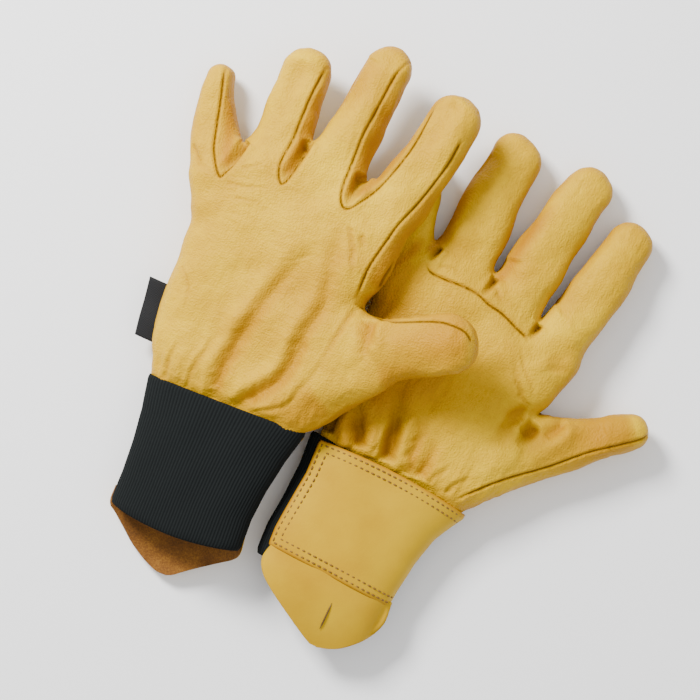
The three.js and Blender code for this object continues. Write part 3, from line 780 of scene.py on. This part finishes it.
def grain_leather():
    """Pebbled yellow grain leather with painted shade, amber and darker, in its folds, pits and side walls,
    and a suede inside.
    """
    n = Nodes("grain_leather")
    where = n.coordinates()
    broad = n.noise(where, 20.0, 4.0, 0.55)
    fine = n.noise(where, 260.0, 4.0, 0.6)
    tone = n.ramp(broad, [(0.32, LEATHER_DEEP), (0.5, LEATHER_MIDDLE), (0.7, LEATHER_PALE)])
    speckle = n.ramp(fine, [(0.3, (0, 0, 0)), (0.72, (1, 1, 1))])
    tone = n.mix(speckle, n.mix(1.0, tone, (0.9, 0.86, 0.8), "MULTIPLY"), tone)
    # painted shade: amber on the side walls, folds, crotches and cuff gathers, then darker down the valleys
    # and pits
    tone = n.mix(n.math("MULTIPLY", n.attribute("amber_shade"), 0.78), tone, LEATHER_AMBER)
    tone = n.mix(n.math("MULTIPLY", n.attribute("dark"), 0.88), tone, SEAM_AND_SHADE_BROWN)
    near, far = SEAM_LINE
    seam = n.add("ShaderNodeMapRange", Value=n.attribute("seam_gap"), From_Min=near, From_Max=far)
    open_skin = seam.outputs["Result"]
    tone = n.mix(n.math("MAXIMUM", open_skin, 0.3), SEAM_AND_SHADE_BROWN, tone)
    tone = n.mix(n.attribute("flesh_side"), tone, (0.34, 0.15, 0.02))
    pebble = n.add("ShaderNodeTexVoronoi", Vector=where, Scale=1050.0)
    pebble.feature = "SMOOTH_F1"
    pebble.inputs["Smoothness"].default_value = 0.6
    along = n.noise(n.coordinates((2.6, 0.7, 1.0), WRINKLE_TURN), 330.0, 3.0, 0.6)
    across = n.noise(n.coordinates((0.7, 2.6, 1.0), WRINKLE_TURN), 260.0, 3.0, 0.6)
    height = n.math("MULTIPLY", pebble.outputs["Distance"], 0.6)
    for relief, share in ((along, 0.6), (across, 0.5), (open_skin, 1.2)):
        height = n.math("ADD", height, n.math("MULTIPLY", relief, share))
    normal = n.bump(height, 0.65, 0.0008)
    dull = n.add("ShaderNodeMapRange", Value=fine, To_Min=0.46, To_Max=0.6).outputs["Result"]
    return n.surface(tone, dull, Normal=normal, Specular_IOR_Level=0.3, Specular_Tint=SHEEN_TINT)


def patch_leather():
    """Smoother, flatter leather for the wrist patch."""
    n = Nodes("patch_leather")
    where = n.coordinates()
    broad = n.noise(where, 30.0, 4.0, 0.5)
    tone = n.ramp(broad, [(0.3, (0.42, 0.225, 0.0)), (0.7, (0.53, 0.32, 0.0))])
    tone = n.mix(n.math("MULTIPLY", n.attribute("edge"), 0.8), tone, LEATHER_AMBER)
    pebble = n.add("ShaderNodeTexVoronoi", Vector=where, Scale=1300.0)
    wrinkle = n.noise(where, 600.0, 3.0, 0.6)
    height = n.math("ADD", n.math("MULTIPLY", pebble.outputs["Distance"], 0.5), wrinkle)
    normal = n.bump(height, 0.16, 0.0004)
    return n.surface(tone, 0.5, Normal=normal, Specular_IOR_Level=0.35, Specular_Tint=SHEEN_TINT)


def suede():
    """Napped brown flesh side of the tongue."""
    n = Nodes("tongue_suede")
    where = n.coordinates()
    nap = n.noise(where, 1100.0, 5.0, 0.75)
    broad = n.noise(where, 70.0, 4.0, 0.6)
    both = n.math("ADD", n.math("MULTIPLY", nap, 0.6), n.math("MULTIPLY", broad, 0.4))
    browns = [(0.36, (0.07, 0.024, 0.0)), (0.52, (0.17, 0.06, 0.003)), (0.66, (0.30, 0.13, 0.012))]
    return n.surface(n.ramp(both, browns), 0.95, Normal=n.bump(nap, 0.7, 0.0006))


def knit_elastic():
    """Near-black knitted elastic; its ribs are in the mesh, its fuzz in the bump."""
    n = Nodes("knit_elastic")
    where = n.coordinates()
    fuzz = n.noise(where, 1500.0, 4.0, 0.7)
    # painted shade: the knit is darker down the grooves between its ribs and lighter on their crests,
    # mottled by the fuzz
    shade = n.math("ADD", n.math("MULTIPLY", n.attribute("rib"), 0.5), n.math("MULTIPLY", fuzz, 0.5))
    tone = n.ramp(shade, [(0.2, (0.0016, 0.0018, 0.0019)), (0.8, (0.0095, 0.0115, 0.0115))])
    return n.surface(tone, 0.95, Normal=n.bump(fuzz, 0.3, 0.0003), Specular_IOR_Level=0.1)


def sewing_thread(name, deep, pale):
    """Twisted thread between two tones."""
    n = Nodes(name)
    twist = n.noise(n.coordinates(), 2500.0, 2.0, 0.5)
    tone = n.ramp(twist, [(0.3, deep), (0.7, pale)])
    return n.surface(tone, 0.6, Normal=n.bump(twist, 0.4, 0.0002))


def woven_tag():
    """Plain black woven tape."""
    n = Nodes("woven_tag")
    weave = n.add("ShaderNodeTexChecker", Vector=n.coordinates(), Scale=1600.0).outputs["Fac"]
    tone = n.mix(weave, (0.003, 0.003, 0.0035), (0.012, 0.012, 0.013))
    return n.surface(tone, 0.8, Normal=n.bump(weave, 0.4, 0.0002), Specular_IOR_Level=0.25)


# ---- Cuff, patch, tongue, thread and tag ----


def band_edges(glove, y):
    """Where the cuff's two side edges are at a height y."""
    run = np.clip(-np.asarray(y, float) / BAND_LENGTH, 0, 1)
    at = np.linspace(0, 1, len(glove["band_edge"]))
    left, right = (np.interp(run, at, [pair[k] for pair in glove["band_edge"]]) for k in (0, 1))
    return left, right


def band_points(glove, share, y, grow):
    """Points on the cuff's section: share of the way round from the thumb side over the top."""
    left, right = band_edges(glove, y)
    half = (right - left) / 2 + grow
    thick = BAND_HALF_THICK + grow
    fine = np.linspace(0, 2 * math.pi, RING_STEPS)
    power = 2 / SECTION_POWER
    ring_x = np.sign(np.cos(fine)) * np.abs(np.cos(fine)) ** power * BAND_HALF_WIDTH
    ring_z = np.sign(np.sin(fine)) * np.abs(np.sin(fine)) ** power * BAND_HALF_THICK
    run = run_along(np.column_stack([ring_x, ring_z]))
    at = (np.asarray(share) % 1.0) * run[-1]
    unit_x = np.interp(at, run, ring_x) / BAND_HALF_WIDTH
    unit_z = np.interp(at, run, ring_z) / BAND_HALF_THICK
    bow = glove["hem_bow"] * (1 - unit_x**2) * np.clip(-y / BAND_LENGTH, 0, BOW_LIMIT) ** 2
    return np.stack([(left + right) / 2 + unit_x * half, y - bow, unit_z * thick], axis=-1)


def grid_faces(rows, columns, wrap=False):
    """Four-cornered faces of a grid of points, row by row."""
    i, j = np.meshgrid(np.arange(rows - 1), np.arange(columns if wrap else columns - 1), indexing="ij")
    i, j = i.ravel(), j.ravel()
    a, b = i * columns + j, i * columns + (j + 1) % columns
    return np.stack([a, b, b + columns, a + columns], axis=1)


def closed_sheet(glove, name, outer, inner, wrap=False, values=None):
    """A sheet with thickness from two grids of points in the glove's frame."""
    rows, columns = outer.shape[:2]
    points = np.vstack([outer.reshape(-1, 3), inner.reshape(-1, 3)])
    every = two_layers(grid_faces(rows, columns, wrap), rows * columns)
    middle = points.mean(axis=0)
    a, b, c = (points[every[:, k]] - middle for k in range(3))
    if np.einsum("ij,ij->i", np.cross(a, b), c).sum() < 0:
        every = every[:, ::-1]
    return mesh_object(f"{glove['name']}_{name}", to_row(glove, points), every, values=values)


RIB_COUNT = 104
RIB_POINTS = 6  # points round the cuff for each rib
RIB_HEIGHT = 0.4
KNIT_TOP = 1.2  # the knit runs this far up past the wrist seam
KNIT_INSIDE = -1.2  # its inner face, from the middle of the band
HEM_ROLL = 0.9  # how far its hem rolls in


def elastic_cuff(glove, material):
    """The knitted band: its ribs run along the arm, and its hem rolls in slightly."""
    columns = RIB_COUNT * RIB_POINTS
    share = np.arange(columns) / columns
    rows = np.linspace(KNIT_TOP, -BAND_LENGTH, 60)
    rib = np.abs(np.sin(share * RIB_COUNT * math.pi + 0.3)) ** 0.7
    outer, inner = [], []
    for y in rows:
        hem, top = math.exp(-((y + BAND_LENGTH) / 1.6) ** 2), math.exp(-((y - KNIT_TOP) / 1.2) ** 2)
        slack = 0.25 * np.sin(share * 38 + y * 0.06) * math.sin(y * 0.11)
        grow = 0.4 + RIB_HEIGHT * rib - HEM_ROLL * (hem + 0.6 * top) + slack
        outer.append(band_points(glove, share, y, grow))
        inner.append(band_points(glove, share, y, KNIT_INSIDE))
    outer, inner = np.array(outer), np.array(inner)
    ribs = np.tile(rib, 2 * len(rows))
    piece = closed_sheet(glove, "cuff_knit", outer, inner, True, {"rib": ribs})
    dress(piece, glove, material, "elastic_cuff")


# Tongue outlines below the hem: (y, left edge, right edge).
TONGUE_EDGES = {
    "left": [(-60, -42, 32), (-69, -42, 33), (-74, -38, 30), (-80, -32, 21), (-86, -25.5, 12), (-91, -18, 5),
             (-94, -12, 1), (-95.5, -7.5, -2.5)],
    "right": [(-58, -38, 31), (-68, -39.5, 32.5), (-75, -35.5, 31), (-81, -27, 28), (-87, -16, 23),
              (-92, -6.5, 17.5), (-95, -0.5, 12), (-96.5, 3, 7.5)],
}
TONGUE_CLEAR = 2.0  # how far outside the middle of the band it lies
TONGUE_BEND = 66.0  # from here down it flattens and sinks
TONGUE_RUN = 30.0  # over this length


def tongue_sink(y, dip):
    """How far along its sinking part a place on the tongue is, and how far it has sunk."""
    run = np.clip((-y - TONGUE_BEND) / TONGUE_RUN, 0, 1)
    return run, dip * run**1.6


def pulse_tongue(glove, grain, nap, dip):
    """The leather flap past the hem: grain outside, suede inside."""
    palm = glove["palm"]
    edges = np.array(TONGUE_EDGES[glove["name"]], float)
    ys = smooth_curve(edges, 46)
    shares = np.linspace(-1, 1, 44)
    outer = []
    for y, left, right in ys:
        middle, half = (left + right) / 2, (right - left) / 2
        x = middle + half * shares
        arm_left, arm_right = band_edges(glove, y)
        across = (x - (arm_left + arm_right) / 2) / ((arm_right - arm_left) / 2 + TONGUE_CLEAR)
        crown = (1 - np.clip(np.abs(across), 0, 0.97) ** SECTION_POWER) ** (1 / SECTION_POWER)
        run, sunk = tongue_sink(y, dip)
        flat = 0.35 * run
        height = (BAND_HALF_THICK + TONGUE_CLEAR) * (crown * (1 - flat) + flat) - sunk
        ripple = 0.5 * np.sin(x * 0.16 + y * 0.1) * run
        outer.append(np.stack([x, np.full_like(x, y), palm * (height + ripple)], axis=-1))
    outer = np.array(outer)
    piece = closed_sheet(glove, "tongue_leather", outer, outer - [0, 0, palm * LEATHER])
    dress(piece, glove, grain, "pulse_tongue")
    piece.data.materials.append(nap)
    faces = (outer.shape[0] - 1) * (outer.shape[1] - 1)
    for polygon in piece.data.polygons[faces:2 * faces]:
        polygon.material_index = 1


PATCH_TOP = 2.5
PATCH_BOTTOM = -61.0
PATCH_GROW = 2.6
PATCH_BOW = 3.4  # how far its top edge dips at the sides
CUT_WIDTH = 1.2  # the cut edges thin out over this width
PATCH_HALF = 38.0  # half its width round the cuff
EDGE_FADE = 1.3  # how far in from a cut edge the leather is darker


def patch_share(glove, across):
    """Share of the way round the cuff for a place across the patch, -1 to 1, on the palm side.

    `patch_reach` is how much of the girth it covers towards the little finger and the thumb.
    """
    to_little, to_thumb = glove["patch_reach"]
    quarter = 0.25 if glove["palm"] > 0 else 0.75
    return quarter - glove["palm"] * np.interp(across, (-1, 1), (-to_little, to_thumb))


def patch_points(glove, across, y, grow):
    """Points on the patch: its top edge bows up a little and its bottom edge stays straight."""
    share = patch_share(glove, across)
    points = band_points(glove, share, y, PATCH_GROW + grow)
    run = (PATCH_TOP - np.asarray(y)) / (PATCH_TOP - PATCH_BOTTOM)
    points[..., 1] -= PATCH_BOW * across**2 * (1 - run)
    return points


def wrist_patch(glove, material):
    """The plain leather patch over the palm side of the cuff."""
    rows = np.linspace(PATCH_TOP, PATCH_BOTTOM, 60)
    across = np.linspace(-1, 1, 90)
    outer, inner, edges = [], [], []
    for y in rows:
        to_edge = np.minimum((1 + across) * PATCH_HALF, min(PATCH_TOP - y, y - PATCH_BOTTOM))
        edges.append(np.exp(-((to_edge / EDGE_FADE) ** 2)))
        edge = sum(0.5 * np.exp(-((y - cut) / CUT_WIDTH) ** 2) for cut in (PATCH_TOP, PATCH_BOTTOM))
        puff = 0.25 * np.sin(across * 7 + y * 0.11)
        stood = 1.2 * np.exp(-(PATCH_TOP - y) / 4) * np.clip((across - 0.2) / 0.8, 0, 1)
        grow = puff - edge + stood
        outer.append(patch_points(glove, across, y, grow))
        inner.append(patch_points(glove, across, y, grow - LEATHER + edge))
    values = {"edge": np.tile(np.ravel(edges), 2)}
    piece = closed_sheet(glove, "patch_leather", np.array(outer), np.array(inner), values=values)
    dress(piece, glove, material, "wrist_patch")


STITCH_LENGTH = 2.3
STITCH_GAP = 0.9
THREAD_RADIUS = 0.42
THREAD_SIDES = 8
THREAD_CUTS = 6  # sections along a stitch
THREAD_SINK = 0.35  # how far its ends go into the leather


def stitch_row(glove, name, route, material, node, length=STITCH_LENGTH):
    """A line of separate stitches along a route of points in the glove's frame."""
    run = run_along(route)
    pitch = length + STITCH_GAP
    around = np.linspace(0, 2 * math.pi, THREAD_SIDES, endpoint=False)
    points, faces = [], []
    for start in np.arange(STITCH_GAP, run[-1] - pitch, pitch):
        line = points_at(route, run, start + np.linspace(0, length, THREAD_CUTS))
        ahead = (line[-1] - line[0]) / np.linalg.norm(line[-1] - line[0])
        up = np.array([0.0, 0.0, float(glove["palm"])])
        sideways = np.cross(ahead, up)
        sideways /= np.linalg.norm(sideways)
        up = np.cross(sideways, ahead)
        base = len(points)
        for k, centre in enumerate(line):
            part = k / (THREAD_CUTS - 1) * 2 - 1
            radius = THREAD_RADIUS * math.sqrt(max(0.06, 1 - part**4))
            sunk = centre - up * THREAD_SINK * part**2
            points += [sunk + radius * (math.cos(a) * sideways + math.sin(a) * up) for a in around]
        faces += (grid_faces(THREAD_CUTS, THREAD_SIDES, True) + base).tolist()
        faces.append(range(base + THREAD_SIDES - 1, base - 1, -1))
        faces.append(range(len(points) - THREAD_SIDES, len(points)))
    piece = mesh_object(f"{glove['name']}_{name}", to_row(glove, np.array(points)), faces)
    dress(piece, glove, material, node)


STITCH_MARGIN = 2.2  # from the patch's edge to its outer row
ROWS_APART = 3.4
ROW_END = 0.97  # both rows end just short of the thumb-side edge


def patch_stitching(glove, material):
    """Two parallel topstitch rows round three sides of the patch."""
    for number, label in enumerate(("outer", "inner")):
        margin = STITCH_MARGIN + ROWS_APART * number
        side = -1 + margin / PATCH_HALF
        top, bottom = PATCH_TOP - margin, PATCH_BOTTOM + margin
        corners = [(ROW_END, top), (side, top), (side, bottom), (ROW_END, bottom)]
        legs = [np.linspace(a, b, 60) for a, b in zip(corners, corners[1:])]
        path = np.vstack(legs)
        route = patch_points(glove, path[:, 0], path[:, 1], 0.12)
        stitch_row(glove, f"patch_stitch_{label}", route, material, f"patch_thread_{label}")


TAG_THICK = 1.0  # both layers of the fold


def label_tag(glove, material):
    """The folded woven tag in the little-finger side seam; it carries no mark."""
    rows = np.linspace(16.5, 47.5, 24)
    shares = np.linspace(0, 1, 14)
    outer = []
    for y in rows:
        seam = np.interp(y, (16, 48), (-47.5, -50.3))
        x = seam + 1.0 - shares * 12.2
        lift = 0.5 + 0.9 * np.sin(shares * 2.2) + 0.25 * math.sin(y * 0.3)
        outer.append(np.stack([x, np.full_like(x, y) + shares * 0.8, lift], axis=-1))
    outer = np.array(outer)
    piece = closed_sheet(glove, "tag_weave", outer, outer - [0, 0, TAG_THICK])
    dress(piece, glove, material, "label_tag")


DART_LENGTH = 16.0


def dart_stitch(glove, material, dip):
    """The short sewn slit along the middle of the tongue."""
    y = np.linspace(-71, -91, 30)
    height = BAND_HALF_THICK + TONGUE_CLEAR - tongue_sink(y, dip)[1]
    route = np.stack([3.2 + (-72 - y) * 0.06, y, glove["palm"] * (height + 0.1)], axis=1)
    stitch_row(glove, "dart_stitch", route, material, "dart_thread", DART_LENGTH)


# ---- Stage ----


LENS = 120.0
SENSOR = 36.0
VIEW_WIDTH = 359.5  # what the frame spans at the gloves' middle height
VIEW_HEIGHT = 25.0
WRIST_TO_VIEW = (63.8, 28.1)
SKY_LIGHT = 0.85
LAMPS = (("key", (-0.65, 0.85, 0.9), 0.4, 44), ("fill", (0.5, -0.2, 1.4), 1.2, 5))


def stage():
    """Pale floor, soft light from above left, and a long lens looking straight down."""
    scene = bpy.context.scene
    bpy.ops.mesh.primitive_plane_add(size=6, location=(0, 0, -0.0005))
    floor = bpy.context.object
    floor.name = "floor"
    pale = Nodes("pale_floor").surface((0.93, 0.93, 0.93, 1), 0.9)
    floor.data.materials.append(pale)
    world = bpy.data.worlds.new("studio")
    scene.world = world
    world.use_nodes = True
    sky = world.node_tree.nodes["Background"].inputs
    sky["Color"].default_value = (1, 1, 1, 1)
    sky["Strength"].default_value = SKY_LIGHT
    for name, at, size, power in LAMPS:
        lamp = bpy.data.lights.new(name, "AREA")
        lamp.size = size
        lamp.energy = power
        light = bpy.data.objects.new(name, lamp)
        light.location = at
        light.rotation_euler = (-Vector(at)).to_track_quat("-Z", "Y").to_euler()
        scene.collection.objects.link(light)
    camera = bpy.data.objects.new("camera", bpy.data.cameras.new("camera"))
    camera.data.lens = LENS
    wrist = mount_at["left_wrist_centre"]
    camera.location = (
        wrist.x + WRIST_TO_VIEW[0] * MM,
        wrist.y + WRIST_TO_VIEW[1] * MM,
        (VIEW_WIDTH / SENSOR * LENS + VIEW_HEIGHT) * MM,
    )
    camera.data.clip_end = 10
    scene.collection.objects.link(camera)
    scene.camera = camera


stage()
leather = grain_leather()
smooth = patch_leather()
nap = suede()
knit = knit_elastic()
thread = sewing_thread("patch_thread", (0.10, 0.04, 0.0), (0.20, 0.09, 0.005))
dark_thread = sewing_thread("dart_thread", (0.05, 0.02, 0.002), (0.12, 0.055, 0.006))
for glove, strokes, seed, dip in ((RIGHT, RIGHT_STROKES, 11, 9.0), (LEFT, LEFT_STROKES, 23, 1.0)):
    glove_skin(glove, strokes, seed, leather)
    elastic_cuff(glove, knit)
    pulse_tongue(glove, smooth, nap, dip)
    wrist_patch(glove, smooth)
    patch_stitching(glove, thread)
    dart_stitch(glove, dark_thread, dip)
label_tag(LEFT, woven_tag())
